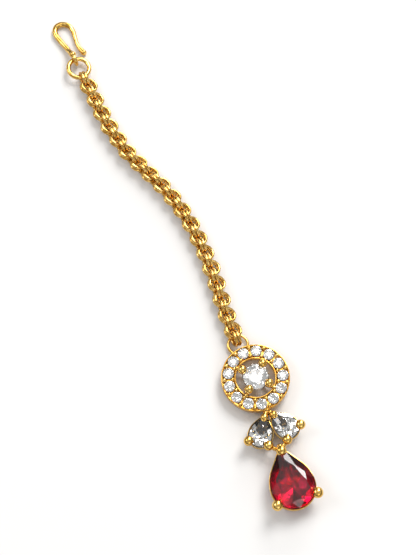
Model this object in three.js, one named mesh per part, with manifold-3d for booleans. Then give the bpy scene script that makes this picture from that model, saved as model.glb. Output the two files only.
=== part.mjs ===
// A maang tikka: a forehead jewel that hangs from the hair by a hook, a ring and a double-link chain.
// It lies on its back on a level surface, z = 0, with its pendant towards -Y and its hook towards +Y.
// Units are millimetres. Every place is measured from the centre of the halo, and the last lines move
// the whole jewel so that the origin is under the middle of its box.
import * as THREE from "three";
import { mergeVertices } from "three/addons/utils/BufferGeometryUtils.js";
import { ConvexGeometry } from "three/addons/geometries/ConvexGeometry.js";
import Module from "manifold-3d";

const wasm = await Module();
wasm.setup();

// ---- driving dimensions ----

// The pavé plate that rings the centre stone.
const HALO = { outer: 6.53, hole: 3.75, back: 1.15, face: 2.45, bevel: 0.18, facets: 40 };

// Each stone: half its width, its girdle's height and thickness, its crown and pavilion, and its table
// as a share of the girdle.
const CENTER_STONE = { half: 2.5, girdleZ: 3.1, girdle: 0.12, crown: 0.75, pavilion: 2.15, table: 0.56 };
const PEAR_STONE = { half: 2.34, girdleZ: 2.5, girdle: 0.12, crown: 0.7, pavilion: 2.0, table: 0.56 };
const RUBY = { half: 4.2, girdleZ: 3.4, girdle: 0.16, crown: 1.15, pavilion: 3.0, table: 0.62 };
const SEAT_GAP = 0.12;

// How far the foot of a claw's wire stays above the surface.
const FOOT_LIFT = 0.1;

// A pear outline, as shares of its half width: a half circle, two flatter side arcs and a straight point.
const PEAR_SIDE_RADIUS = 1.63;
const PEAR_SIDE_TURN = THREE.MathUtils.degToRad(37);
const PEAR_POINT = 1.87;

// Where the pear stones sit: the middle of their round end, and how far they splay from the axis.
const PEAR_PLACE = { x: 2.65, y: -10.88, splay: THREE.MathUtils.degToRad(31) };
const RUBY_PLACE = { x: 0, y: -22.05 };

// Each pear setting: the seat's wall, the base ring, and the claws, whose angle is measured from the
// round end and whose reach is measured from the middle of the round end.
const PEAR_SETTING = {
  rim: 0.08, wall: 0.55, seatDrop: 0.25, seatDepth: 0.85, base: 0.6, baseWall: 0.55, baseHeight: 0.5,
  claw: 0.36, clawAngle: THREE.MathUtils.degToRad(50), clawReach: 2.5, head: 0.93, headRise: 0.5,
  tipReach: 3.43, tipHead: 0.75,
};
const RUBY_SETTING = {
  rim: 0.1, wall: 0.7, seatDrop: 0.3, seatDepth: 1.0, base: 0.56, baseWall: 0.7, baseHeight: 0.6,
  claw: 0.48, clawAngle: THREE.MathUtils.degToRad(58), clawReach: 4.6, head: 1.05, headRise: 0.5,
  tipReach: 7.0, tipHead: 1.0,
};

// The centre basket: a base ring and four claws that lean on the wall of the halo.
const BASKET = {
  inner: 0.85, outer: 1.7, height: 0.5, bevel: 0.05, facets: 24,
  claw: 0.36, claws: 4, elbow: 2.6, elbowZ: 0.95, lean: 3.55, head: 0.7, reach: 2.9, rise: 0.42,
};

// The solder between the settings: two grains at the edge of the halo, and half of the yoke's curve.
const HALO_GRAINS = [
  { y: -6.85, z: 1.95, radius: 0.7 },
  { y: -7.05, z: 2.5, radius: 0.45 },
];
const YOKE = { wire: 0.42, foot: [1.84, -13.2, 1.9], shoulder: [0.95, -13.9, 2.2], top: [0, -14.2, 2.5] };

// Rings as the radius of the wire's centre line and of the wire itself.
const END_RING = { x: -13.69, y: 72.57, z: 1.45, radius: 2.1, wire: 0.45, roll: THREE.MathUtils.degToRad(6) };
const DROP_RING = { x: -0.97, y: 7.58, z: 0.67, radius: 1.9, wire: 0.28, roll: 0 };
const HOOK_EYE = { radius: 1.03, wire: 0.375, lean: THREE.MathUtils.degToRad(7) };
const HOOK = { wire: 0.54, tip: 0.6, collar: 0.58 };
const LUG = { x: -0.35, y: 5.76, reach: 0.72, bottom: 0.19, wire: 0.14 };

// The chain's centre line, from the end ring down to the drop ring.
const CHAIN = { radius: 1.8, sides: 8, steps: 30 };
const CHAIN_ROUTE = [
  [-13.2, 69.6], [-12.9, 66.4], [-12.5, 63.2], [-12.1, 60.7], [-11.65, 58.2], [-10.95, 55.6],
  [-10.0, 52.3], [-8.7, 49.5], [-7.1, 46.3], [-5.3, 42.8], [-3.95, 39.3], [-2.85, 35.6], [-2.15, 32.0],
  [-1.65, 28.0], [-1.4, 23.8], [-1.38, 19.8], [-1.45, 16.2], [-1.45, 13.0], [-1.38, 10.2],
];

// The hook's centre line: up from the eye, round the top, and down to a tip that turns outwards.
const HOOK_ROUTE = [
  [-14.05, 75.7, 1.6], [-14.35, 76.6, 1.15], [-14.85, 78.2, 0.75], [-15.6, 80.2, 0.6],
  [-16.03, 81.8, 0.6], [-15.75, 82.9, 0.6], [-14.9, 83.5, 0.6], [-13.8, 83.4, 0.6],
  [-12.95, 82.75, 0.6], [-12.47, 81.6, 0.6], [-12.45, 80.0, 0.6], [-12.44, 78.4, 0.6],
  [-12.2, 77.2, 0.6], [-11.75, 76.15, 0.62],
];

// ---- materials ----

const gold = new THREE.MeshStandardMaterial({ color: 0xd9a23c, roughness: 0.25, metalness: 1 });
const clear = new THREE.MeshStandardMaterial({ color: 0xf1f3f5, roughness: 0.03, metalness: 0 });
const red = new THREE.MeshStandardMaterial({ color: 0x9c0428, roughness: 0.03, metalness: 0 });

// ---- helpers ----

const at = (x, y, z) => new THREE.Vector3(x, y, z);

function piece(name, geometry, material) {
  const mesh = new THREE.Mesh(geometry, material);
  mesh.name = name;
  return mesh;
}

// A closed geometry as a solid that can be joined to others or cut.
function solid(geometry) {
  const bare = new THREE.BufferGeometry();
  bare.setAttribute("position", geometry.getAttribute("position"));
  bare.setIndex(geometry.index);
  const shell = mergeVertices(bare, 1e-4);
  const triVerts = new Uint32Array(shell.index.array);
  return new wasm.Manifold(
    new wasm.Mesh({ numProp: 3, vertProperties: shell.attributes.position.array, triVerts }),
  );
}

function geometryOf(body) {
  const { vertProperties, triVerts } = body.getMesh();
  const geometry = new THREE.BufferGeometry();
  geometry.setAttribute("position", new THREE.BufferAttribute(vertProperties, 3));
  geometry.setIndex(new THREE.BufferAttribute(triVerts, 1));
  const faceted = geometry.toNonIndexed();
  faceted.computeVertexNormals();
  return faceted;
}

const joined = (geometries) => geometries.map(solid).reduce((whole, next) => whole.add(next));

// A wire of the given radius along a smooth curve through the points, flat side down.
function wire(points, radius, steps, sides = 6) {
  const corners = Array.from({ length: sides }, (_, i) => {
    const turn = ((i + 0.5) / sides) * 2 * Math.PI;
    return new THREE.Vector2(radius * Math.cos(turn), radius * Math.sin(turn));
  });
  const extrudePath = new THREE.CatmullRomCurve3(points);
  return new THREE.ExtrudeGeometry(new THREE.Shape(corners), { steps, extrudePath });
}

function ball(center, radius) {
  return new THREE.SphereGeometry(radius, 9, 6).rotateX(Math.PI / 2).translate(...center);
}

// A ring with a square section, from its inner and outer radius and its lower and upper face.
function band(inner, outer, low, high, bevel, facets) {
  const profile = [
    [inner, low], [outer, low], [outer, high - bevel], [outer - bevel, high], [inner, high], [inner, low],
  ].map(([r, z]) => new THREE.Vector2(r, z));
  return new THREE.LatheGeometry(profile, facets).rotateX(Math.PI / 2);
}

// A pear outline, point up, with its round end about the origin.
function pearPath(path, half) {
  const side = PEAR_SIDE_RADIUS * half;
  path.moveTo(0, PEAR_POINT * half);
  path.lineTo(side - half - side * Math.cos(PEAR_SIDE_TURN), side * Math.sin(PEAR_SIDE_TURN));
  path.absarc(side - half, 0, side, Math.PI - PEAR_SIDE_TURN, Math.PI, false);
  path.absarc(0, 0, half, Math.PI, 2 * Math.PI, false);
  path.absarc(half - side, 0, side, 0, PEAR_SIDE_TURN, false);
  path.closePath();
  return path;
}

// A wall that follows a pear outline, standing on z = low.
function pearWall(half, wall, low, height) {
  const shape = pearPath(new THREE.Shape(), half);
  shape.holes.push(pearPath(new THREE.Path(), half - wall));
  const options = { depth: height, bevelEnabled: false, curveSegments: 6 };
  return new THREE.ExtrudeGeometry(shape, options).translate(0, 0, low);
}

// ---- stones ----

// A cut stone is the hull of its girdle, its table and the point of its pavilion.
function cutStone(outline, stone, grow = 0) {
  const share = 1 + grow / stone.half;
  const ring = (scale, z) => outline.map((p) => at(p.x * scale, p.y * scale, z));
  return new ConvexGeometry([
    ...ring(share, stone.girdleZ - stone.girdle / 2 - grow / 2),
    ...ring(share, stone.girdleZ + stone.girdle / 2 + grow / 2),
    ...ring(stone.table * share, stone.girdleZ + stone.girdle / 2 + stone.crown + grow),
    at(0, 0, stone.girdleZ - stone.girdle / 2 - stone.pavilion - grow),
  ]);
}

function roundStone(grow) {
  const outline = new THREE.Shape().absarc(0, 0, CENTER_STONE.half, 0, 2 * Math.PI);
  return cutStone(outline.getSpacedPoints(16).slice(0, 16), CENTER_STONE, grow);
}

function pearStone(stone, grow) {
  const outline = pearPath(new THREE.Shape(), stone.half).getPoints(6);
  return cutStone(outline, stone, grow);
}

// ---- the soldered gold of the pendant ----

function basket() {
  const { inner, outer, height, bevel, facets, lean } = BASKET;
  const parts = [band(inner, outer, 0, height, bevel, facets)];
  const foot = (inner + outer) / 2;
  const headZ = CENTER_STONE.girdleZ + BASKET.rise;
  for (let i = 0; i < BASKET.claws; i++) {
    const turn = ((i + 0.5) / BASKET.claws) * 2 * Math.PI;
    const route = [
      at(foot, 0, BASKET.claw + FOOT_LIFT),
      at(BASKET.elbow, 0, BASKET.elbowZ),
      at(lean, 0, HALO.back + 0.5),
      at(lean - 0.15, 0, HALO.face),
      at(BASKET.reach + 0.1, 0, headZ - 0.1),
    ];
    parts.push(wire(route, BASKET.claw, 7).rotateZ(turn));
    parts.push(ball([BASKET.reach, 0, headZ], BASKET.head).rotateZ(turn));
  }
  return parts;
}

// A claw that rises from the base ring along the seat's wall, passes outside the girdle and ends in a
// ball over the stone. Every reach is measured from the middle of the stone's round end.
function claw(stone, setting, angle, seatReach, outside, reach, head) {
  const foot = seatReach * setting.base;
  const headZ = stone.girdleZ + setting.headRise;
  const route = [
    at(foot, 0, setting.claw + FOOT_LIFT),
    at(seatReach, 0, stone.girdleZ - setting.seatDrop - setting.seatDepth),
    at(outside, 0, stone.girdleZ - setting.seatDrop),
    at(outside, 0, stone.girdleZ + setting.headRise / 2),
    at(reach, 0, headZ),
  ];
  return [wire(route, setting.claw, 6), ball([reach, 0, headZ], head)].map((g) => g.rotateZ(angle));
}

function pearSetting(stone, setting) {
  const seat = stone.half + setting.rim;
  const seatLow = stone.girdleZ - setting.seatDrop - setting.seatDepth;
  const pointSeat = PEAR_POINT * seat - setting.wall;
  const point = PEAR_POINT * stone.half + setting.claw;
  const down = -Math.PI / 2;
  const { clawAngle, clawReach, head, tipReach, tipHead } = setting;
  return [
    pearWall(seat, setting.wall, seatLow, setting.seatDepth),
    pearWall(seat * setting.base, setting.baseWall, 0, setting.baseHeight),
    ...claw(stone, setting, down + clawAngle, seat - 0.2, clawReach + 0.1, clawReach, head),
    ...claw(stone, setting, down - clawAngle, seat - 0.2, clawReach + 0.1, clawReach, head),
    ...claw(stone, setting, -down, pointSeat, point, tipReach, tipHead),
  ];
}

// Turns and moves a geometry made about a stone's own centre to one side of the pendant.
function toPearPlace(geometry, side) {
  return geometry.rotateZ(side * PEAR_PLACE.splay).translate(side * PEAR_PLACE.x, PEAR_PLACE.y, 0);
}

const toRubyPlace = (geometry) => geometry.translate(RUBY_PLACE.x, RUBY_PLACE.y, 0);

// The joints between the settings: a grain at the edge of the halo, and a yoke that carries the ruby.
function joints() {
  const { foot, shoulder, top } = YOKE;
  const mirrored = ([x, y, z]) => at(-x, y, z);
  const yoke = [mirrored(foot), mirrored(shoulder), at(...top), at(...shoulder), at(...foot)];
  return [...HALO_GRAINS.map(({ y, z, radius }) => ball([0, y, z], radius)), wire(yoke, YOKE.wire, 10)];
}

// A plain loop under the plate, through which the drop ring passes.
function lug() {
  const { x, y, reach, bottom } = LUG;
  const top = HALO.back + 0.1;
  const elbow = (top + bottom) / 2;
  const loop = [
    at(x, y - reach, top), at(x, y - reach, elbow), at(x, y - reach / 2, bottom), at(x, y, bottom),
    at(x, y + reach / 2, bottom), at(x, y + reach, elbow), at(x, y + reach, top),
  ];
  return [wire(loop, LUG.wire, 12)];
}

function pendantFrame() {
  const metal = [
    band(HALO.hole, HALO.outer, HALO.back, HALO.face, HALO.bevel, HALO.facets),
    ...basket(),
    ...joints(),
    ...lug(),
    ...pearSetting(RUBY, RUBY_SETTING).map(toRubyPlace),
  ];
  for (const side of [-1, 1])
    metal.push(...pearSetting(PEAR_STONE, PEAR_SETTING).map((part) => toPearPlace(part, side)));
  const seats = [
    roundStone(SEAT_GAP),
    toRubyPlace(pearStone(RUBY, SEAT_GAP)),
    toPearPlace(pearStone(PEAR_STONE, SEAT_GAP), -1),
    toPearPlace(pearStone(PEAR_STONE, SEAT_GAP), 1),
  ];
  return geometryOf(joined(metal).subtract(joined(seats)));
}

// ---- hook, rings and chain ----

function hook() {
  const out = at(-Math.sin(HOOK_EYE.lean), Math.cos(HOOK_EYE.lean), 0);
  const eye = at(END_RING.x, END_RING.y, END_RING.z).addScaledVector(out, END_RING.radius);
  const upright = new THREE.TorusGeometry(HOOK_EYE.radius, HOOK_EYE.wire, 6, 18)
    .rotateY(Math.PI / 2)
    .rotateZ(HOOK_EYE.lean)
    .translate(eye.x, eye.y, eye.z);
  const route = HOOK_ROUTE.map((p) => at(...p));
  return geometryOf(
    joined([
      upright,
      wire(route, HOOK.wire, 28, 8),
      ball(HOOK_ROUTE[0], HOOK.collar),
      ball(HOOK_ROUTE.at(-1), HOOK.tip),
    ]),
  );
}

function ring({ x, y, z, radius, wire, roll }) {
  return new THREE.TorusGeometry(radius, wire, 8, 24).rotateY(roll).translate(x, y, z);
}

function chain() {
  const middle = CHAIN.radius * Math.cos(Math.PI / CHAIN.sides);
  const route = CHAIN_ROUTE.map(([x, y]) => at(x, y, middle));
  return wire(route, CHAIN.radius, CHAIN.steps, CHAIN.sides);
}

// ---- the jewel ----

const jewel = new THREE.Group();
jewel.add(
  piece("hook", hook(), gold.clone()),
  piece("end_ring", ring(END_RING), gold.clone()),
  piece("chain", chain(), gold.clone()),
  piece("drop_ring", ring(DROP_RING), gold.clone()),
  piece("pendant_frame", pendantFrame(), gold.clone()),
  piece("center_stone", roundStone(0), clear.clone()),
  piece("pear_stone_left", toPearPlace(pearStone(PEAR_STONE, 0), -1), clear.clone()),
  piece("pear_stone_right", toPearPlace(pearStone(PEAR_STONE, 0), 1), clear.clone()),
  piece("ruby_stone", toRubyPlace(pearStone(RUBY, 0)), red.clone()),
);

const box = new THREE.Box3().setFromObject(jewel, true);
const middle = box.getCenter(new THREE.Vector3());
jewel.position.set(-middle.x, -middle.y, -box.min.z);

export default jewel;
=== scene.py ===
# %% [markdown]
# # A maang tikka laid on a white table
#
# A maang tikka is a jewel for the forehead. A hook goes into the hair, a chain lies along the parting,
# and a pendant rests on the brow. This one is gold, with a ring of small diamonds round a larger one,
# two pear diamonds and a pear ruby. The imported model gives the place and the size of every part. This
# lesson adds what a jeweller would add: round wire, linked rings, cut stones, polish.

# %% Load the frame
import math

import bpy
from mathutils import Euler, Matrix, Vector


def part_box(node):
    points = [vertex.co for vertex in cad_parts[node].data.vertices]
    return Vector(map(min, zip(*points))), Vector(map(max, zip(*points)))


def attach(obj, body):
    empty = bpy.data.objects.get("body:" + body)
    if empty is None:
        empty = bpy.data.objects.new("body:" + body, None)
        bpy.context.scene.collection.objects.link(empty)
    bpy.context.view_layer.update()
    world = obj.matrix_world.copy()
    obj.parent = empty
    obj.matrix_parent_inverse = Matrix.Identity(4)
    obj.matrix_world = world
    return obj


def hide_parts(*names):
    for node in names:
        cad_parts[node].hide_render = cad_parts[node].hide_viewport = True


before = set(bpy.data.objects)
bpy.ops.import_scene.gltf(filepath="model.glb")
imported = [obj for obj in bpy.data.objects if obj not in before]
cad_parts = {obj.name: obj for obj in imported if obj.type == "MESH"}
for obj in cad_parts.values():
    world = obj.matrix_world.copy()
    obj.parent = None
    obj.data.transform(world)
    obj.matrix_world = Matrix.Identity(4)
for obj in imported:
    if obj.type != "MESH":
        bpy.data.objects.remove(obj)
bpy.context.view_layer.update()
MM = 0.001
low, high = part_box("center_stone")
halo_centre = (low + high) / 2
print("frame loaded, halo centre at", round(halo_centre.x / MM, 2), round(halo_centre.y / MM, 2), "mm")

# %% [markdown]
# ## The bench
#
# The parts are a few millimetres across, and many of Blender's tools round off at a tenth of a
# millimetre. So each part is made on a bench that is a thousand times larger, where one unit is one
# millimetre and the middle of the halo is the origin. When a part is done, `settle` shrinks it, carries
# it to its place in the frame and ties it to the jewel's one body.

# %% Tools of the bench


def put_down_everything():
    """Leave nothing selected, so that the next tool touches only its own piece."""
    if bpy.context.object is not None and bpy.context.object.mode == "EDIT":
        bpy.ops.object.mode_set(mode="OBJECT")
    bpy.ops.object.select_all(action="DESELECT")


def pick_up(piece):
    """Make one piece the selected and active one."""
    put_down_everything()
    piece.select_set(True)
    bpy.context.view_layer.objects.active = piece


def fix_place(piece):
    """Put a piece's place, turn and scale into its mesh."""
    pick_up(piece)
    bpy.ops.object.transform_apply(location=True, rotation=True, scale=True)
    return piece


def join(pieces):
    """Make several pieces one."""
    pick_up(pieces[0])
    for piece in pieces:
        piece.select_set(True)
    bpy.ops.object.join()
    return fix_place(bpy.context.object)


def copy_of(piece, place=(0, 0, 0), turn=0.0):
    """Copy a piece with a mesh of its own, turned about the bench's Z axis and then moved."""
    pick_up(piece)
    bpy.ops.object.duplicate(linked=False)
    copy = bpy.context.object
    copy.rotation_euler.z = turn
    copy.location = place
    return fix_place(copy)


def smooth(piece, degrees=40):
    """Shade smooth, with sharp edges where the faces meet at more than this angle."""
    pick_up(piece)
    bpy.ops.object.shade_smooth_by_angle(angle=math.radians(degrees), keep_sharp_edges=False)
    return piece


def settle(piece, name, finish, slot, *nodes, back=None):
    """Name a finished piece, shrink it into the frame, give it its finish and tie it to the jewel.

    A stone also has a finish for its back, the facets that look down."""
    fix_place(piece)
    piece.name = name
    piece.data.name = name
    piece.scale = (MM, MM, MM)
    piece.location = (halo_centre.x, halo_centre.y, 0)
    fix_place(piece)
    piece.data.materials.clear()
    piece.data.materials.append(finish)
    if back is not None:
        piece.data.materials.append(back)
        for face in piece.data.polygons:
            face.material_index = int(face.normal.z < -0.1)
    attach(piece, "root")
    if nodes:
        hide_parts(*nodes)
    print(name, "has", len(piece.data.polygons), "faces")
    return piece


# %% [markdown]
# ## Polished gold
#
# Polished gold shows little of its own and a lot of what is around it, so its look comes from clean
# curved shapes, a deep yellow reflection and light that has dark gaps. A real polish isn't perfect: the
# buffing wheel leaves fine streaks and a slight waviness. Both belong in a node group, because every
# gold part shares them and each part wants them at its own strength.

# %% A group for the marks of polishing


def group_socket(group, name, kind, way, value=None):
    """Add one named socket to a node group."""
    socket = group.interface.new_socket(name=name, in_out=way, socket_type=kind)
    if value is not None:
        socket.default_value = value


def make_polish_marks():
    """Streaks and waviness that change the roughness, the normal and the depth of colour."""
    group = bpy.data.node_groups.new("PolishMarks", "ShaderNodeTree")
    group_socket(group, "Streak Size", "NodeSocketFloat", "INPUT", 9000.0)
    group_socket(group, "Waviness", "NodeSocketFloat", "INPUT", 0.2)
    group_socket(group, "Smoothest", "NodeSocketFloat", "INPUT", 0.08)
    group_socket(group, "Roughest", "NodeSocketFloat", "INPUT", 0.22)
    group_socket(group, "Roughness", "NodeSocketFloat", "OUTPUT")
    group_socket(group, "Depth", "NodeSocketFloat", "OUTPUT")
    group_socket(group, "Normal", "NodeSocketVector", "OUTPUT")
    nodes = group.nodes
    links = group.links
    inlet = nodes.new("NodeGroupInput")
    outlet = nodes.new("NodeGroupOutput")
    place = nodes.new("ShaderNodeTexCoord")
    streaks = nodes.new("ShaderNodeTexNoise")
    streaks.inputs["Detail"].default_value = 4.0
    streaks.inputs["Distortion"].default_value = 1.5
    waves = nodes.new("ShaderNodeTexNoise")
    waves.inputs["Scale"].default_value = 900.0
    waves.inputs["Detail"].default_value = 2.0
    span = nodes.new("ShaderNodeMapRange")
    span.inputs["From Min"].default_value = 0.35
    span.inputs["From Max"].default_value = 0.7
    bump = nodes.new("ShaderNodeBump")
    bump.inputs["Distance"].default_value = 0.00008
    fine = nodes.new("ShaderNodeBump")
    fine.inputs["Distance"].default_value = 0.000004
    fine.inputs["Strength"].default_value = 0.12
    links.new(place.outputs["Object"], streaks.inputs["Vector"])
    links.new(place.outputs["Object"], waves.inputs["Vector"])
    links.new(inlet.outputs["Streak Size"], streaks.inputs["Scale"])
    links.new(streaks.outputs["Fac"], span.inputs["Value"])
    links.new(inlet.outputs["Smoothest"], span.inputs["To Min"])
    links.new(inlet.outputs["Roughest"], span.inputs["To Max"])
    links.new(inlet.outputs["Waviness"], bump.inputs["Strength"])
    links.new(waves.outputs["Fac"], bump.inputs["Height"])
    links.new(streaks.outputs["Fac"], fine.inputs["Height"])
    links.new(bump.outputs["Normal"], fine.inputs["Normal"])
    links.new(span.outputs["Result"], outlet.inputs["Roughness"])
    links.new(waves.outputs["Fac"], outlet.inputs["Depth"])
    links.new(fine.outputs["Normal"], outlet.inputs["Normal"])
    return group


polish_marks = make_polish_marks()
print("group", polish_marks.name, "has", len(polish_marks.nodes), "nodes")

# %% [markdown]
# The gold itself is a metal with a strong yellow. Two close tones, mixed by the waviness, keep broad
# faces from looking like plastic. The chain is a little rougher than the pendant, because its rings
# rub on each other. The plate behind the stones is matt, as a graver leaves it.

# %% Make the golds


def make_gold(name, light, deep, smoothest, roughest, waviness):
    """A polished gold with its own tones and its own degree of polish."""
    material = bpy.data.materials.new(name)
    material.use_nodes = True
    nodes = material.node_tree.nodes
    links = material.node_tree.links
    shader = nodes["Principled BSDF"]
    shader.inputs["Metallic"].default_value = 1.0
    marks = nodes.new("ShaderNodeGroup")
    marks.node_tree = polish_marks
    marks.inputs["Smoothest"].default_value = smoothest
    marks.inputs["Roughest"].default_value = roughest
    marks.inputs["Waviness"].default_value = waviness
    tone = nodes.new("ShaderNodeValToRGB")
    tone.color_ramp.elements[0].position = 0.35
    tone.color_ramp.elements[0].color = (*deep, 1)
    tone.color_ramp.elements[1].position = 0.62
    tone.color_ramp.elements[1].color = (*light, 1)
    links.new(marks.outputs["Depth"], tone.inputs["Fac"])
    links.new(tone.outputs["Color"], shader.inputs["Base Color"])
    links.new(marks.outputs["Roughness"], shader.inputs["Roughness"])
    links.new(marks.outputs["Normal"], shader.inputs["Normal"])
    return material


pendant_gold = make_gold("pendant_gold", (0.88, 0.59, 0.18), (0.66, 0.37, 0.07), 0.05, 0.15, 0.1)
chain_gold = make_gold("chain_gold", (0.86, 0.58, 0.19), (0.6, 0.34, 0.07), 0.06, 0.17, 0.08)
engraved_gold = make_gold("engraved_gold", (0.86, 0.5, 0.11), (0.55, 0.27, 0.04), 0.12, 0.3, 0.3)
print("three golds made")

# %% [markdown]
# ## Clear stones and the ruby
#
# A diamond bends light so strongly that most of it turns back inside the stone. That is why its facets
# look white and nearly black side by side, and why the shape of the facets matters more than the
# material. The glass keeps a plain transmission and index. Faint clouds in the tint and a trace of
# bump stand for the soft inclusions and the polishing lines of real stones.

# %% Make the stones' glass


def make_glass(name, tint, cloud, index, cloud_size):
    """A faceted stone's glass, with a tint that clouds slightly from place to place."""
    material = bpy.data.materials.new(name)
    material.use_nodes = True
    nodes = material.node_tree.nodes
    links = material.node_tree.links
    shader = nodes["Principled BSDF"]
    shader.inputs["Transmission Weight"].default_value = 1.0
    shader.inputs["IOR"].default_value = index
    shader.inputs["Roughness"].default_value = 0.0
    place = nodes.new("ShaderNodeTexCoord")
    clouds = nodes.new("ShaderNodeTexNoise")
    clouds.inputs["Scale"].default_value = cloud_size
    clouds.inputs["Detail"].default_value = 3.0
    tone = nodes.new("ShaderNodeValToRGB")
    tone.color_ramp.elements[0].position = 0.35
    tone.color_ramp.elements[0].color = (*cloud, 1)
    tone.color_ramp.elements[1].position = 0.6
    tone.color_ramp.elements[1].color = (*tint, 1)
    bump = nodes.new("ShaderNodeBump")
    bump.inputs["Strength"].default_value = 0.1
    bump.inputs["Distance"].default_value = 0.000004
    links.new(place.outputs["Object"], clouds.inputs["Vector"])
    links.new(clouds.outputs["Fac"], tone.inputs["Fac"])
    links.new(clouds.outputs["Fac"], bump.inputs["Height"])
    links.new(tone.outputs["Color"], shader.inputs["Base Color"])
    links.new(bump.outputs["Normal"], shader.inputs["Normal"])
    return material


diamond_glass = make_glass("diamond_glass", (1.0, 1.0, 1.0), (0.93, 0.94, 0.95), 2.2, 1500.0)
ruby_glass = make_glass("ruby_glass", (0.86, 0.02, 0.19), (0.7, 0.01, 0.12), 1.77, 700.0)
print("two glasses made")

# %% [markdown]
# These stones have foil on their backs: the pavilion's facets are coated, so that the light that enters
# through the crown comes back. The foil is a smooth metal with faint mottling, silver behind the
# diamonds and red behind the ruby.

# %% Make the foils


def make_foil(name, light, dull, smoothest, roughest):
    """A mirror coat on a stone's back, slightly mottled."""
    material = bpy.data.materials.new(name)
    material.use_nodes = True
    nodes = material.node_tree.nodes
    links = material.node_tree.links
    shader = nodes["Principled BSDF"]
    shader.inputs["Metallic"].default_value = 1.0
    place = nodes.new("ShaderNodeTexCoord")
    mottle = nodes.new("ShaderNodeTexNoise")
    mottle.inputs["Scale"].default_value = 2500.0
    tone = nodes.new("ShaderNodeValToRGB")
    tone.color_ramp.elements[0].position = 0.3
    tone.color_ramp.elements[0].color = (*dull, 1)
    tone.color_ramp.elements[1].position = 0.6
    tone.color_ramp.elements[1].color = (*light, 1)
    gloss = nodes.new("ShaderNodeMapRange")
    gloss.inputs["To Min"].default_value = smoothest
    gloss.inputs["To Max"].default_value = roughest
    links.new(place.outputs["Object"], mottle.inputs["Vector"])
    links.new(mottle.outputs["Fac"], tone.inputs["Fac"])
    links.new(mottle.outputs["Fac"], gloss.inputs["Value"])
    links.new(tone.outputs["Color"], shader.inputs["Base Color"])
    links.new(gloss.outputs["Result"], shader.inputs["Roughness"])
    return material


silver_foil = make_foil("silver_foil", (0.98, 0.98, 0.97), (0.9, 0.9, 0.89), 0.02, 0.08)
red_foil = make_foil("red_foil", (0.9, 0.25, 0.42), (0.75, 0.15, 0.3), 0.1, 0.24)
print("two foils made")

# %% [markdown]
# ## Round wire
#
# A jeweller starts from drawn wire. A ring is wire bent round a mandrel: here a small circle, the
# wire's section, is spun about the axis. A claw or a hook is wire bent by hand, and its thickness
# changes along the way: here a curve through a few points, each with its own radius, is swept by a
# round section and made a mesh.

# %% Rings and bent wire


def wire_ring(radius, wire, steps=48, sides=16):
    """Spin a wire's section about the Z axis into a ring round the bench's origin."""
    put_down_everything()
    bpy.ops.mesh.primitive_circle_add(
        vertices=sides, radius=wire, location=(radius, 0, 0), rotation=(math.pi / 2, 0, 0)
    )
    ring = fix_place(bpy.context.object)
    bpy.ops.object.mode_set(mode="EDIT")
    bpy.ops.mesh.select_all(action="SELECT")
    bpy.ops.mesh.spin(steps=steps, angle=2 * math.pi, center=(0, 0, 0), axis=(0, 0, 1))
    bpy.ops.mesh.select_all(action="SELECT")
    bpy.ops.mesh.remove_doubles(threshold=0.002)
    bpy.ops.mesh.normals_make_consistent(inside=False)
    bpy.ops.object.mode_set(mode="OBJECT")
    bpy.ops.object.shade_smooth()
    return ring


def bent_wire(stops, sides=3, steps=8):
    """Sweep a round section through stops, each a place and the wire's radius there."""
    put_down_everything()
    bpy.ops.curve.primitive_bezier_curve_add()
    wire = bpy.context.object
    curve = wire.data
    line = curve.splines[0]
    line.bezier_points.add(len(stops) - 2)
    for point, (place, radius) in zip(line.bezier_points, stops):
        point.co = place
        point.radius = radius
        point.handle_left_type = "AUTO"
        point.handle_right_type = "AUTO"
    curve.dimensions = "3D"
    curve.bevel_depth = 1.0
    curve.bevel_resolution = sides
    curve.resolution_u = steps
    curve.use_fill_caps = True
    pick_up(wire)
    bpy.ops.object.convert(target="MESH")
    bpy.ops.object.mode_set(mode="EDIT")
    bpy.ops.mesh.select_all(action="SELECT")
    bpy.ops.mesh.remove_doubles(threshold=0.001)
    bpy.ops.mesh.normals_make_consistent(inside=False)
    bpy.ops.object.mode_set(mode="OBJECT")
    return smooth(bpy.context.object, 60)


def bead(place, radius, squash=1.0, rings=12, segments=20):
    """A ball of melted gold, a little flattened along Z."""
    put_down_everything()
    bpy.ops.mesh.primitive_uv_sphere_add(
        segments=segments, ring_count=rings, radius=radius, location=place, scale=(1, 1, squash)
    )
    ball = fix_place(bpy.context.object)
    bpy.ops.object.shade_smooth()
    return ball


# %% [markdown]
# ## The double-link chain
#
# The chain is a rolo chain made double: every link is a pair of round rings, and each pair passes
# through the pair before it and the pair after it. Pairs lie and stand in turn. One ring is spun, then
# copied to every place along the chain's route. The lying pairs tip to one side, and the standing
# pairs lean the same way, as a limp chain does on a table. The standing rings are pressed a little
# flat. Every pair also gets a small tilt of its own and every ring a small shift, both worked out from
# the pair's number, because no two links of a real chain catch the light alike.

# %% The chain's route

CHAIN_ROUTE = [
    (-13.35, 69.8), (-12.9, 66.4), (-12.5, 63.2), (-12.1, 60.7), (-11.65, 58.2), (-10.95, 55.6),
    (-10.0, 52.3), (-8.7, 49.5), (-7.1, 46.3), (-5.3, 42.8), (-3.95, 39.3), (-2.85, 35.6), (-2.15, 32.0),
    (-1.65, 28.0), (-1.4, 23.8), (-1.38, 19.8), (-1.45, 16.2), (-1.45, 13.0), (-1.3, 10.4), (-1.12, 8.75),
]


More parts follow.
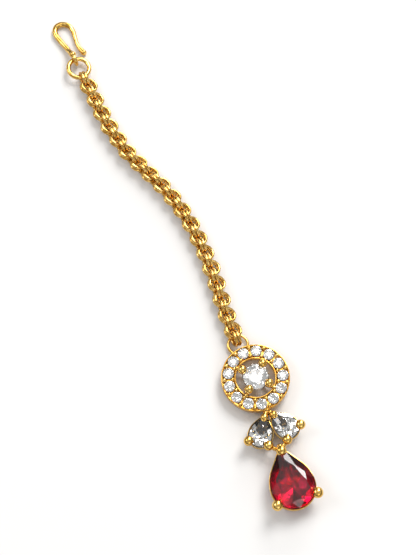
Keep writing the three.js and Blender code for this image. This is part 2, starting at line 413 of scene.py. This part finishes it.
def walk(route, fine=24):
    """A smooth line through the route's points, as places that are close together."""
    points = [Vector((x, y, 0)) for x, y in route]
    points = [2 * points[0] - points[1], *points, 2 * points[-1] - points[-2]]
    line = []
    for before, start, end, after in zip(points, points[1:], points[2:], points[3:]):
        for step in range(fine):
            t = step / fine
            pull = (end - before) * t + (2 * before - 5 * start + 4 * end - after) * t * t
            line.append(start + (pull + (3 * start - before - 3 * end + after) * t**3) / 2)
    return [*line, points[-2]]


def spread(line, count):
    """Even places along a line, each with the line's direction there."""
    reached = [0.0]
    for start, end in zip(line, line[1:]):
        reached.append(reached[-1] + (end - start).length)
    places = []
    for number in range(count):
        goal = reached[-1] * number / (count - 1)
        index = max(i for i, length in enumerate(reached[:-1]) if length <= goal + 1e-9)
        share = (goal - reached[index]) / (reached[index + 1] - reached[index])
        along = (line[index + 1] - line[index]).normalized()
        places.append((line[index].lerp(line[index + 1], share), along))
    return places, reached[-1]


LINK_PITCH = 1.7
chain_line = walk(CHAIN_ROUTE)
_, chain_length = spread(chain_line, 2)
pair_count = 2 * round(chain_length / LINK_PITCH / 2) + 1
link_places, _ = spread(chain_line, pair_count)
print("the chain's line is", round(chain_length, 1), "mm long and takes", pair_count, "pairs")

# %% Link the chain

LINK_RADIUS = 1.55
LINK_SHORTER = 0.92
LINK_WIRE = 0.29
TWIN_GAP = 0.32
PAIR_TILT = math.radians(4)
RING_SHIFT = 0.07
LYING = {"turn": math.radians(64), "aside": 0.22, "height": 1.3, "flat": 1.0}
STANDING = {"turn": math.radians(-12), "aside": -0.02, "height": 1.62, "flat": 0.82}


def wobble(number, swing):
    """A small even-handed change that differs from link to link."""
    return swing * math.sin(2.4 * number + 0.7) * math.cos(1.3 * number)


def link_chain():
    """Copy the ring to each twin of each pair along the route."""
    pattern = wire_ring(LINK_RADIUS, LINK_WIRE, steps=32, sides=12)
    rings = []
    for number, (place, along) in enumerate(link_places):
        across = Vector((-along.y, along.x, 0))
        up = Vector((0, 0, 1))
        pose = LYING if number % 2 else STANDING
        lean = pose["turn"] + wobble(number, PAIR_TILT)
        axis = across * math.cos(lean) + up * math.sin(lean)
        side = axis.cross(along)
        turn = Matrix((along * LINK_SHORTER, side * pose["flat"], axis)).transposed().to_4x4()
        middle = place + across * pose["aside"] + up * pose["height"]
        for twin in (-1, 1):
            centre = middle + axis * twin * TWIN_GAP + along * wobble(number + twin, RING_SHIFT)
            ring = copy_of(pattern)
            ring.data.transform(Matrix.Translation(centre) @ turn)
            rings.append(ring)
    put_down_everything()
    bpy.data.objects.remove(pattern)
    print(len(rings), "rings linked")
    return join(rings)


chain = link_chain()
settle(chain, "double_link_chain", chain_gold, "gold_plate", "chain")

# %% [markdown]
# ## Hook, end ring and drop ring
#
# The hook is one wire. Its root is wound into an upright eye round the end ring, with a small collar
# where the wire meets itself. It swells round the bend, thins on the way back, and its tip flares
# outwards to a rounded knob, so that it combs through hair without catching. The end ring and the drop
# ring are plain jump rings. A jump ring is cut once and soldered, which leaves a fine seam.

# %% Bend the hook

END_RING = Vector((-13.69, 72.57, 1.45))
END_RING_RADIUS = 2.1
END_RING_WIRE = 0.45
END_RING_ROLL = math.radians(6)
EYE_RADIUS = 1.03
EYE_WIRE = 0.375
EYE_LEAN = math.radians(7)

HOOK_STOPS = [
    ((-14.05, 75.0, 1.6), 0.3), ((-14.05, 75.5, 1.6), 0.56), ((-14.2, 76.1, 1.4), 0.58),
    ((-14.45, 77.0, 1.0), 0.5), ((-14.85, 78.2, 0.75), 0.52), ((-15.6, 80.2, 0.6), 0.54),
    ((-16.03, 81.8, 0.6), 0.56), ((-15.75, 82.9, 0.6), 0.57), ((-14.9, 83.5, 0.6), 0.58),
    ((-13.8, 83.4, 0.6), 0.57), ((-12.95, 82.75, 0.6), 0.54), ((-12.47, 81.6, 0.6), 0.48),
    ((-12.45, 80.0, 0.6), 0.43), ((-12.44, 78.4, 0.6), 0.42), ((-12.2, 77.2, 0.6), 0.45),
    ((-11.88, 76.45, 0.6), 0.54), ((-11.7, 76.05, 0.62), 0.6), ((-11.55, 75.72, 0.62), 0.5),
    ((-11.44, 75.48, 0.62), 0.08),
]


def bend_hook():
    """The hook's wire with its eye and collar."""
    out = Vector((-math.sin(EYE_LEAN), math.cos(EYE_LEAN), 0))
    eye = wire_ring(EYE_RADIUS, EYE_WIRE, steps=40, sides=16)
    eye.rotation_euler = Euler((math.pi / 2, 0, math.pi / 2 + EYE_LEAN))
    eye.location = END_RING + out * END_RING_RADIUS
    wire = bent_wire(HOOK_STOPS, sides=5, steps=10)
    collar = bead((-14.05, 75.45, 2.35), 0.66, 0.95, rings=16, segments=24)
    return join([fix_place(eye), wire, collar])


hook = bend_hook()
settle(hook, "hook_wire", pendant_gold, "gold_plate", "hook")

# %% Close the jump rings

SEAM_HALF_ANGLE = math.pi / 90
SEAM_THINNING = 0.93


def jump_ring(radius, wire, seam_turn):
    """A round ring with the fine groove of its solder seam."""
    ring = wire_ring(radius, wire, steps=72, sides=20)
    seam = Vector((math.cos(seam_turn), math.sin(seam_turn), 0))
    for vertex in ring.data.vertices:
        spoke = Vector((vertex.co.x, vertex.co.y, 0)).normalized()
        middle = spoke * radius
        if spoke.angle(seam) < SEAM_HALF_ANGLE:
            vertex.co = middle + (vertex.co - middle) * SEAM_THINNING
    return ring


end_ring = jump_ring(END_RING_RADIUS, END_RING_WIRE, math.radians(200))
end_ring.rotation_euler.y = END_RING_ROLL
end_ring.location = END_RING
settle(end_ring, "end_ring_round", pendant_gold, "gold_plate", "end_ring")

DROP_RING = Vector((-0.97, 7.58, 0.67))
DROP_RING_RADIUS = 1.9
DROP_RING_WIRE = 0.28
drop_ring = jump_ring(DROP_RING_RADIUS, DROP_RING_WIRE, math.radians(20))
drop_ring.location = DROP_RING
settle(drop_ring, "drop_ring_round", pendant_gold, "gold_plate", "drop_ring")

# %% [markdown]
# ## The halo's plate
#
# The halo is a flat ring with a thin raised rim on each side and a lower floor between them, which
# holds thirteen small diamonds. It starts as a disc. The middle is opened by bridging its two faces,
# and the top is inset for the rims and pushed down for the floor. A bevel takes the sharpness off, as
# polishing does. Then a cutter sinks a cone-shaped seat for each stone.

# %% Sizes of the halo

HALO_OUTER = 6.53
HALO_HOLE = 3.75
HALO_BACK = 1.15
HALO_FACE = 2.45
RIM = 0.27
RIM_SLOPE = 0.08
FLOOR_DROP = 0.3
POLISHED_EDGE = 0.06
HALO_STONES = 13
HALO_STONE_HALF = 1.03
STONE_CIRCLE = 5.22
FIRST_STONE = math.radians(90 - 19.5)


def edit_faces(piece, wanted):
    """Open a piece in edit mode with only the wanted faces selected."""
    pick_up(piece)
    bpy.context.tool_settings.mesh_select_mode = (False, False, True)
    bpy.ops.object.mode_set(mode="EDIT")
    bpy.ops.mesh.select_all(action="DESELECT")
    bpy.ops.object.mode_set(mode="OBJECT")
    for face in piece.data.polygons:
        face.select = wanted(face)
    bpy.ops.object.mode_set(mode="EDIT")


def open_middle(piece, wall):
    """Inset the top and the bottom by the wall, take out the middles and bridge the two openings."""
    edit_faces(piece, lambda face: abs(face.normal.z) > 0.9)
    bpy.ops.mesh.inset(thickness=wall)
    bpy.ops.mesh.delete(type="FACE")
    bpy.ops.mesh.select_mode(type="EDGE")
    bpy.ops.mesh.select_all(action="DESELECT")
    bpy.ops.mesh.select_non_manifold()
    bpy.ops.mesh.bridge_edge_loops()
    bpy.ops.mesh.select_all(action="SELECT")
    bpy.ops.mesh.normals_make_consistent(inside=False)
    bpy.ops.object.mode_set(mode="OBJECT")
    return piece


def soften(piece, width, degrees=35, segments=2):
    """Bevel the sharp edges with a modifier and apply it."""
    pick_up(piece)
    bevel = piece.modifiers.new("softened edges", "BEVEL")
    bevel.width = width
    bevel.segments = segments
    bevel.limit_method = "ANGLE"
    bevel.angle_limit = math.radians(degrees)
    bpy.ops.object.modifier_apply(modifier=bevel.name)
    return smooth(piece, degrees)


def cut_away(piece, cutter):
    """Cut one piece by another, which is used up."""
    pick_up(piece)
    cut = piece.modifiers.new("cut", "BOOLEAN")
    cut.operation = "DIFFERENCE"
    cut.solver = "EXACT"
    cut.object = cutter
    bpy.ops.object.modifier_apply(modifier=cut.name)
    bpy.data.objects.remove(cutter)
    return piece


# %% Turn the plate and sink the seats

SEAT_FOOT = 0.35
SEAT_MARGIN = 0.22
SEAT_DEPTH = 1.15
SEAT_SINK = 0.46


def turn_plate():
    """A disc with a raised rim at its edge and round its hole."""
    put_down_everything()
    bpy.ops.mesh.primitive_cylinder_add(
        vertices=128,
        radius=HALO_OUTER,
        depth=HALO_FACE - HALO_BACK,
        location=(0, 0, (HALO_FACE + HALO_BACK) / 2),
    )
    plate = fix_place(bpy.context.object)
    plate = open_middle(plate, HALO_OUTER - HALO_HOLE)
    edit_faces(plate, lambda face: face.normal.z > 0.9)
    bpy.ops.mesh.inset(thickness=RIM)
    bpy.ops.mesh.inset(thickness=RIM_SLOPE)
    bpy.ops.transform.translate(value=(0, 0, -FLOOR_DROP))
    bpy.ops.object.mode_set(mode="OBJECT")
    return soften(plate, POLISHED_EDGE)


def stone_spots():
    """The middle and the turn of each small diamond on the halo."""
    for number in range(HALO_STONES):
        turn = FIRST_STONE - number * 2 * math.pi / HALO_STONES
        yield turn, Vector((math.cos(turn), math.sin(turn), 0)) * STONE_CIRCLE


def seat_cutter():
    """One cone for each seat, joined into a single cutter."""
    cones = []
    for _, spot in stone_spots():
        put_down_everything()
        bpy.ops.mesh.primitive_cone_add(
            vertices=28,
            radius1=SEAT_FOOT,
            radius2=HALO_STONE_HALF + SEAT_MARGIN,
            depth=SEAT_DEPTH,
            location=(spot.x, spot.y, HALO_FACE - SEAT_SINK),
        )
        cones.append(fix_place(bpy.context.object))
    return join(cones)


plate = cut_away(turn_plate(), seat_cutter())
plate = smooth(plate, 30)
settle(plate, "halo_plate", engraved_gold, "gold_plate", "pendant_frame")

# %% [markdown]
# Between two stones a pair of grains holds both: one near the outer rim and one near the inner rim.
# A grain is raised from the plate with a graver and pressed round with a cup, so it is a half ball
# whose foot is in the metal.

# %% Raise the grains

OUTER_GRAIN = {"reach": 5.95, "size": 0.43}
INNER_GRAIN = {"reach": 4.38, "size": 0.4}
GRAIN_SINK = 0.02


def raise_grains():
    """A pair of grains in each gap between the small diamonds."""
    grains = []
    for turn, _ in stone_spots():
        between = turn - math.pi / HALO_STONES
        outward = Vector((math.cos(between), math.sin(between), 0))
        for grain in (OUTER_GRAIN, INNER_GRAIN):
            place = outward * grain["reach"]
            middle = (place.x, place.y, HALO_FACE - GRAIN_SINK)
            grains.append(bead(middle, grain["size"], 0.95, rings=10, segments=16))
    return join(grains)


halo_grains = raise_grains()
settle(halo_grains, "halo_grains", pendant_gold, "gold_plate")

# %% [markdown]
# ## Cutting the stones
#
# A stone cutter grinds flat facets one after another. Blender's bisect tool does the same: it cuts a
# blank along a plane, throws the outside away and closes the cut with a flat face. The planes follow
# the standard brilliant: eight mains run from girdle to table, sixteen halves work along the girdle
# between them, eight stars ring the table, and the pavilion has its own mains and halves. Their angles
# are worked out so that neighbouring facets meet in points. A pear brilliant uses the same plan about
# a pear outline, where the distance from the middle changes with the direction.

# %% A blank and its outline

PEAR_SIDE_RADIUS = 1.63
PEAR_SIDE_TURN = math.radians(37)
PEAR_POINT = 1.87


def arc(middle, radius, start, end, count):
    """Points along an arc, without its last one."""
    turns = [start + (end - start) * i / count for i in range(count)]
    return [Vector((middle + radius * math.cos(t), radius * math.sin(t))) for t in turns]


def pear_outline(half):
    """A pear, point up, with its round end about the origin."""
    side = PEAR_SIDE_RADIUS * half
    turn = PEAR_SIDE_TURN
    left = arc(side - half, side, math.pi - turn, math.pi, 14)
    end = arc(0, half, math.pi, 2 * math.pi, 36)
    right = arc(half - side, side, 0, turn, 14)
    last = Vector((half - side + side * math.cos(turn), side * math.sin(turn)))
    return [Vector((0, PEAR_POINT * half)), *left, *end, *right, last]


def round_outline(half):
    """A circle as a closed outline."""
    return arc(0, half, 0, 2 * math.pi, 64)


def prism(outline, low_z, high_z):
    """A blank: a disc drawn out to an outline, then pulled up to its height."""
    put_down_everything()
    bpy.ops.mesh.primitive_circle_add(vertices=len(outline), radius=1, fill_type="NGON")
    blank = bpy.context.object
    for vertex, corner in zip(blank.data.vertices, outline):
        vertex.co = (corner.x, corner.y, low_z)
    bpy.ops.object.mode_set(mode="EDIT")
    bpy.ops.mesh.select_all(action="SELECT")
    bpy.ops.mesh.extrude_region_move(TRANSFORM_OT_translate={"value": (0, 0, high_z - low_z)})
    bpy.ops.mesh.select_all(action="SELECT")
    bpy.ops.mesh.normals_make_consistent(inside=False)
    bpy.ops.object.mode_set(mode="OBJECT")
    return blank


# %% The cutter's planes

MAINS = 8


def grind(point, normal):
    """Cut the blank in edit mode along one plane and close the cut."""
    bpy.ops.mesh.select_all(action="SELECT")
    bpy.ops.mesh.bisect(
        plane_co=point, plane_no=normal, use_fill=True, clear_outer=True, threshold=0.0001
    )


def cut_stone(outline, girdle_z, girdle, crown, pavilion, table, star=0.5, keel=0.22, first=0.0):
    """Cut a brilliant from a prism of the outline, whose middle is the origin."""
    top = girdle_z + girdle / 2
    bottom = girdle_z - girdle / 2
    stone = prism(outline, bottom - pavilion, top + crown)
    bpy.ops.object.mode_set(mode="EDIT")
    step = 2 * math.pi / MAINS
    quarter_cos = math.cos(step / 4)
    half_cos = math.cos(step / 2)

    def reach(turn):
        return max(corner.x * math.cos(turn) + corner.y * math.sin(turn) for corner in outline)

    def facet(turn, distance, height, slope):
        out = Vector((math.cos(turn), math.sin(turn), 0))
        normal = out * math.sin(math.atan(slope)) + Vector((0, 0, math.cos(math.atan(slope))))
        if height < girdle_z:
            normal.z = -normal.z
        grind(out * distance + Vector((0, 0, height)), normal)

    for number in range(MAINS):
        turn = first + number * step
        span = reach(turn)
        tip = span * (table * half_cos + (1 - table * half_cos) * star)
        share = (tip * half_cos - table * span) / (span * (1 - table))
        rise = span * (1 - quarter_cos)
        half_slope = crown * (1 - share) / (span - tip * quarter_cos - share * rise)
        main_slope = (crown - half_slope * rise) / (span * (1 - table))
        facet(turn, table * span, top + crown, main_slope)
        lower = keel * span
        lower_slope = pavilion * (1 - keel * half_cos)
        lower_slope /= span - lower * quarter_cos - lower * half_cos * (1 - quarter_cos)
        deep_slope = (pavilion - lower_slope * rise) / span
        facet(turn, 0, bottom - pavilion, deep_slope)
        for side in (-1, 1):
            beside = turn + side * step / 4
            facet(beside, reach(beside), top, half_slope * span / reach(beside))
            facet(beside, reach(beside), bottom, lower_slope * span / reach(beside))
        middle = turn + step / 2
        far = reach(middle)
        height_at_tip = main_slope * (tip * half_cos - table * span)
        star_slope = height_at_tip / (tip - table * half_cos * span)
        facet(middle, table * half_cos * far, top + crown, star_slope * span / far)
    bpy.ops.mesh.select_all(action="SELECT")
    bpy.ops.mesh.remove_doubles(threshold=0.002)
    bpy.ops.mesh.normals_make_consistent(inside=False)
    bpy.ops.object.mode_set(mode="OBJECT")
    bpy.ops.object.shade_flat()
    return stone


# %% Cut the centre diamond and the halo's thirteen

CENTRE_HALF = 2.5
CENTRE_GIRDLE_Z = 3.1
HALO_GIRDLE_Z = 2.5
ROUND_TABLE = 0.56
STONE_TWIST = 0.4

centre_stone = cut_stone(
    round_outline(CENTRE_HALF), CENTRE_GIRDLE_Z, girdle=0.12, crown=0.75, pavilion=2.15, table=ROUND_TABLE
)
settle(centre_stone, "centre_brilliant", diamond_glass, "clear_stone", "center_stone", back=silver_foil)

small_stone = cut_stone(
    round_outline(HALO_STONE_HALF), HALO_GIRDLE_Z, girdle=0.06, crown=0.31, pavilion=0.86, table=ROUND_TABLE
)
halo_set = [copy_of(small_stone, spot, turn + STONE_TWIST * turn) for turn, spot in stone_spots()]
put_down_everything()
bpy.data.objects.remove(small_stone)
halo_stones = join(halo_set)
settle(halo_stones, "halo_brilliants", diamond_glass, "clear_stone", back=silver_foil)

# %% Cut the pear diamonds and the ruby

PEAR_HALF = 2.34
PEAR_GIRDLE_Z = 2.5
PEAR_SIDE = 2.65
PEAR_Y = -10.88
PEAR_SPLAY = math.radians(31)
RUBY_HALF = 4.2
RUBY_GIRDLE_Z = 3.4
RUBY_Y = -22.05


def to_pear_place(piece, side):
    """Turn and move a piece made round a stone's middle to one side of the pendant."""
    piece.rotation_euler.z = side * PEAR_SPLAY
    piece.location = (side * PEAR_SIDE, PEAR_Y, 0)
    return fix_place(piece)


def pear_diamond(side):
    """One pear brilliant in its place."""
    outline = pear_outline(PEAR_HALF)
    stone = cut_stone(
        outline, PEAR_GIRDLE_Z, girdle=0.12, crown=0.8, pavilion=2.35, table=0.4,
        star=0.6, keel=0.55, first=math.pi / 2,
    )
    return to_pear_place(stone, side)


for side, name in ((-1, "left"), (1, "right")):
    stone = pear_diamond(side)
    node = "pear_stone_" + name
    settle(stone, "pear_brilliant_" + name, diamond_glass, "clear_stone", node, back=silver_foil)

ruby = cut_stone(
    pear_outline(RUBY_HALF), RUBY_GIRDLE_Z, girdle=0.16, crown=1.15, pavilion=3.0, table=0.62,
    star=0.42, keel=0.3, first=math.pi / 2,
)
ruby.location.y = RUBY_Y
settle(ruby, "ruby_pear", ruby_glass, "red_stone", "ruby_stone", back=red_foil)

# %% [markdown]
# ## Baskets and claws
#
# Each large stone sits in an open basket: a seat under the girdle, a smaller base near the table it
# lies on, and claws that rise past the stone and close over its edge. The pears' seats and bases
# follow the stone's outline, so they are prisms of that outline with an open middle. The round
# stone's are rings of wire. A claw is bent wire with a ball at its top.

# %% Seats and claws for the pears

BAND_EDGE = 0.07
BASE_LIFT = 0.02
HEAD_LIFT = 0.5
TIP_CLEARANCE = 0.05


def outline_band(half, wall, low_z, height):
    """A wall of even thickness that follows a pear outline."""
    band = open_middle(prism(pear_outline(half), low_z, low_z + height), wall)
    return soften(band, BAND_EDGE)


def claw(foot, seat, outside, reach, girdle_z, seat_low, wire, head, head_z):
    """A claw in the XZ plane: up from the base, past the girdle, and a ball over the stone's edge."""
    bend = (girdle_z + head_z) / 2
    stem = bent_wire(
        [
            ((foot, 0, wire + 0.1), wire * 0.9),
            ((seat, 0, seat_low), wire),
            ((outside, 0, girdle_z - 0.3), wire),
            ((outside, 0, bend), wire * 1.1),
            ((reach, 0, head_z - head * 0.3), wire * 0.9),
        ]
    )
    ball = bead((reach, 0, head_z), head, 0.88, rings=18, segments=28)
    return join([stem, ball])


def pear_setting(half, girdle_z, sizes):
    """The seat, the base and the three claws round a pear stone's own middle."""
    seat = half + sizes["rim"]
    seat_low = girdle_z - sizes["drop"] - sizes["depth"]
    parts = [
        outline_band(seat, sizes["wall"], seat_low, sizes["depth"]),
        outline_band(seat * sizes["base"], sizes["wall"], BASE_LIFT, sizes["base_height"]),
    ]
    head_z = girdle_z + HEAD_LIFT
    for turn in (-sizes["angle"], sizes["angle"]):
        side_claw = claw(
            (seat - 0.2) * sizes["base"], seat - 0.2, sizes["reach"] + 0.1, sizes["reach"],
            girdle_z, seat_low, sizes["wire"], sizes["head"], head_z,
        )
        side_claw.rotation_euler.z = turn - math.pi / 2
        parts.append(fix_place(side_claw))
    point_seat = PEAR_POINT * seat - sizes["wall"]
    tip_claw = claw(
        point_seat * sizes["base"], point_seat, PEAR_POINT * half + TIP_CLEARANCE, sizes["tip_reach"],
        girdle_z, seat_low, sizes["wire"], sizes["tip_head"], head_z,
    )
    tip_claw.rotation_euler.z = math.pi / 2
    parts.append(fix_place(tip_claw))
    return join(parts)


PEAR_SIZES = {
    "rim": 0.12, "wall": 0.55, "drop": 0.2, "depth": 0.85, "base": 0.6, "base_height": 0.5,
    "wire": 0.36, "angle": math.radians(50), "reach": 2.5, "head": 0.95, "tip_reach": 3.43,
    "tip_head": 0.76,
}
RUBY_SIZES = {
    "rim": 0.14, "wall": 0.7, "drop": 0.24, "depth": 1.0, "base": 0.56, "base_height": 0.6,
    "wire": 0.48, "angle": math.radians(58), "reach": 4.6, "head": 1.06, "tip_reach": 7.0,
    "tip_head": 1.0,
}

for side, name in ((-1, "pear_setting_left"), (1, "pear_setting_right")):
    setting = to_pear_place(pear_setting(PEAR_HALF, PEAR_GIRDLE_Z, PEAR_SIZES), side)
    settle(setting, name, pendant_gold, "gold_plate")

ruby_setting = pear_setting(RUBY_HALF, RUBY_GIRDLE_Z, RUBY_SIZES)
ruby_setting.location.y = RUBY_Y
settle(ruby_setting, "ruby_setting", pendant_gold, "gold_plate")

# %% The centre basket, the yoke and the lug

CENTRE_CLAWS = 4
LUG_X = -0.35
LUG_WIRE = 0.15


def centre_basket():
    """A base ring, a seat ring under the girdle, and four claws that lean on the halo's inner wall."""
    base = wire_ring(1.3, 0.3, steps=48, sides=12)
    base.location.z = 0.32
    seat = wire_ring(2.3, 0.17, steps=64, sides=12)
    seat.location.z = 2.72
    parts = [fix_place(base), fix_place(seat)]
    for number in range(CENTRE_CLAWS):
        stem = bent_wire(
            [
                ((1.3, 0, 0.46), 0.32), ((2.5, 0, 0.95), 0.34), ((3.3, 0, 1.6), 0.36),
                ((3.35, 0, 2.4), 0.4), ((3.1, 0, 3.1), 0.42), ((2.85, 0, 3.5), 0.4),
            ]
        )
        arm = bent_wire([((2.9, 0, 2.7), 0.4), ((3.5, 0, 2.3), 0.42), ((4.1, 0, 2.15), 0.45)])
        ball = bead((2.85, 0, 3.5), 0.84, 0.88, rings=18, segments=28)
        prong = join([stem, arm, ball])
        prong.rotation_euler.z = (number + 0.5) * 2 * math.pi / CENTRE_CLAWS
        parts.append(fix_place(prong))
    return join(parts)


settle(centre_basket(), "centre_basket", pendant_gold, "gold_plate")

yoke = bent_wire(
    [
        ((-2.0, -12.9, 2.6), 0.5), ((-1.1, -13.85, 2.4), 0.42), ((0, -14.4, 2.2), 0.4),
        ((1.1, -13.85, 2.4), 0.42), ((2.0, -12.9, 2.6), 0.5),
    ]
)
halo_joint = bead((0, -6.85, 1.95), 0.72, 0.9, rings=16, segments=24)
joint_grain = bead((0.08, -7.03, 2.5), 0.47, 0.95, rings=14, segments=20)
settle(join([yoke, halo_joint, joint_grain]), "yoke_and_joint", pendant_gold, "gold_plate")

lug_top = HALO_BACK + 0.1
lug_line = [
    (5.04, lug_top), (5.04, 0.7), (5.35, 0.22), (5.76, 0.19), (6.17, 0.22), (6.48, 0.7), (6.48, lug_top)
]
lug = bent_wire([((LUG_X, y, z), LUG_WIRE) for y, z in lug_line])
settle(lug, "drop_ring_lug", pendant_gold, "gold_plate")

# %% [markdown]
# ## The table, the light and the camera
#
# Jewellery is lit by large soft lights with dark gaps between them. The lights give gold its bright
# bands and the gaps give it form. The floor is plain and pale. The main light stands to the upper
# right, so shadows fall softly to the lower left. The world is bright overhead and has a dark band
# low down, which puts a dark edge on every round wire.

# %% The white table

put_down_everything()
bpy.ops.mesh.primitive_plane_add(size=4.0, location=(0, 0, 0))
table = bpy.context.object
table.name = "white_table"
table_paint = bpy.data.materials.new("white_table_paint")
table_paint.use_nodes = True
table_shader = table_paint.node_tree.nodes["Principled BSDF"]
table_shader.inputs["Base Color"].default_value = (0.8, 0.795, 0.79, 1)
table_shader.inputs["Roughness"].default_value = 0.9
table_shader.inputs["Specular IOR Level"].default_value = 0.1
table.data.materials.append(table_paint)

# %% The world and the lights

world = bpy.data.worlds.new("studio")
bpy.context.scene.world = world
world.use_nodes = True
sky_nodes = world.node_tree.nodes
sky_links = world.node_tree.links
backdrop = sky_nodes["Background"]
direction = sky_nodes.new("ShaderNodeTexCoord")
split = sky_nodes.new("ShaderNodeSeparateXYZ")
height = sky_nodes.new("ShaderNodeValToRGB")
height.color_ramp.elements[0].position = 0.0
height.color_ramp.elements[0].color = (0.4, 0.39, 0.38, 1)
height.color_ramp.elements[1].position = 1.0
height.color_ramp.elements[1].color = (0.8, 0.8, 0.8, 1)
dark_top = height.color_ramp.elements.new(0.27)
dark_top.color = (0.13, 0.12, 0.11, 1)
bright_low = height.color_ramp.elements.new(0.5)
bright_low.color = (0.8, 0.79, 0.78, 1)
sky_links.new(direction.outputs["Generated"], split.inputs["Vector"])
sky_links.new(split.outputs["Z"], height.inputs["Fac"])
sky_links.new(height.outputs["Color"], backdrop.inputs["Color"])
backdrop.inputs["Strength"].default_value = 0.7


def softbox(name, place, size, power, colour):
    """A square area light that faces the middle of the table."""
    put_down_everything()
    bpy.ops.object.light_add(type="AREA", location=place)
    light = bpy.context.object
    light.name = name
    light.data.size = size
    light.data.energy = power
    light.data.color = colour
    light.rotation_euler = (-Vector(place)).to_track_quat("-Z", "Y").to_euler()
    return light


softbox("key_light", (0.4, 0.36, 0.62), 0.38, 4.9, (1.0, 0.985, 0.965))
softbox("top_light", (0.07, 0.22, 0.73), 0.15, 0.3, (1.0, 0.99, 0.97))
softbox("fill_light", (-0.45, 0.25, 0.5), 0.3, 1.0, (0.97, 0.98, 1.0))
softbox("back_light", (0.45, 0.62, 0.25), 0.32, 2.4, (1.0, 0.99, 0.98))
softbox("front_light", (0.05, -0.7, 0.5), 0.5, 0.9, (1.0, 0.99, 0.98))
print("table, world and five lights made")

# %% The camera

CAMERA_TURN = math.radians(-17.8)
CAMERA_HEIGHT = math.radians(72)
CAMERA_DISTANCE = 0.3006
aim = Vector((halo_centre.x - 2.23 * MM, halo_centre.y + 22.49 * MM, 0))
back = Vector(
    (
        math.sin(CAMERA_TURN) * math.cos(CAMERA_HEIGHT),
        -math.cos(CAMERA_TURN) * math.cos(CAMERA_HEIGHT),
        math.sin(CAMERA_HEIGHT),
    )
)
put_down_everything()
bpy.ops.object.camera_add(location=aim + back * CAMERA_DISTANCE)
camera = bpy.context.object
camera.rotation_euler = (-back).to_track_quat("-Z", "Y").to_euler()
camera.data.lens = 100
camera.data.sensor_width = 36
camera.data.clip_start = 0.01
bpy.context.scene.camera = camera
bpy.context.scene.view_settings.view_transform = "Standard"
print("camera looks from", [round(v, 3) for v in camera.location])
